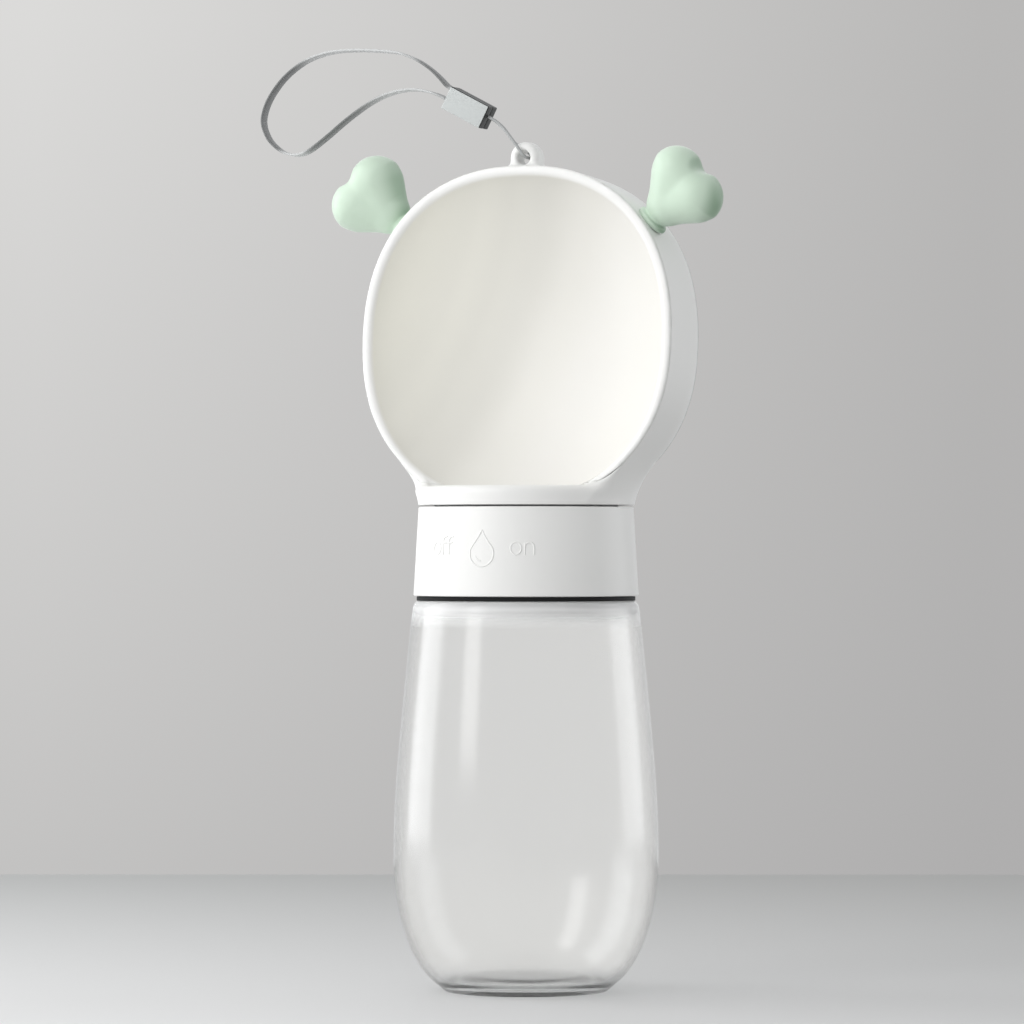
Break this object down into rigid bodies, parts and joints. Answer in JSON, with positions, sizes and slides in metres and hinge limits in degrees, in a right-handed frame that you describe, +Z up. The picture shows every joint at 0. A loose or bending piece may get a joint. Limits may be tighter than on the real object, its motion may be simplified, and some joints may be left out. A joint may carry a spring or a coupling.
{
  "type": "dog travel water bottle",
  "caption": "Clear squeeze bottle with a twist-valve collar, a round drinking dish head, mint heart ears and a wrist strap.",
  "frame": {"origin": "centre of the bottle's base, on the surface it stands on", "axes": "+Z up along the bottle's axis, -Y towards the front of the drinking dish, +X to the right ear as seen from the front"},
  "size_m": [0.1436, 0.0752, 0.2692],
  "materials": {
    "clear_body": "clear, polished",
    "white_shell": "satin gloss, moulded",
    "dish_white": "smooth satin, moulded",
    "valve_white": "moulded",
    "mint": "soft satin gloss",
    "soft_seal": "matt silicone",
    "dark_seal": "matt rubber",
    "steel": "turned",
    "cord": "coated cord",
    "strap": "translucent soft band",
    "clasp_white": "satin gloss, moulded"
  },
  "bodies": {
    "bottle": {"bottle": "clear_body", "shoulder_ring": "dark_seal"},
    "cap_seal": {"mouth_gasket": "soft_seal"},
    "collar": {"threaded_cap": "white_shell", "collar_ring": "white_shell", "valve_seat": "soft_seal", "pivot_screw": "steel", "pivot_washer": "steel"},
    "head": {"valve_disc": "valve_white", "neck_oring": "dark_seal", "outlet_grommet": "soft_seal", "head_shell": "white_shell", "drinking_dish": "dish_white", "dish_seal": "soft_seal", "rear_cover": "white_shell", "rear_seal": "soft_seal", "ear_heart_left": "mint", "ear_heart_right": "mint", "ear_clip_left": "valve_white", "ear_clip_right": "valve_white", "lanyard_cord": "cord", "clasp_front": "clasp_white", "clasp_back": "clasp_white", "wrist_strap": "strap"}
  },
  "joints": [
    {"name": "cap_rise", "type": "slide", "parent": "bottle", "child": "cap_seal", "axis": [0, 0, 1], "range_m": [0, 0.005]},
    {"name": "cap_unscrew", "type": "hinge", "parent": "cap_seal", "child": "collar", "pos_m": [0, 0, 0.12], "axis": [0, 0, 1], "range_deg": [0, 360]},
    {"name": "valve_twist", "type": "hinge", "parent": "collar", "child": "head", "pos_m": [0, 0, 0.134], "axis": [0, 0, 1], "range_deg": [-24, 24]}
  ],
  "couplings": [
    {"joint": "cap_rise", "follows": "cap_unscrew", "m_per_rad": 0.000795}
  ]
}
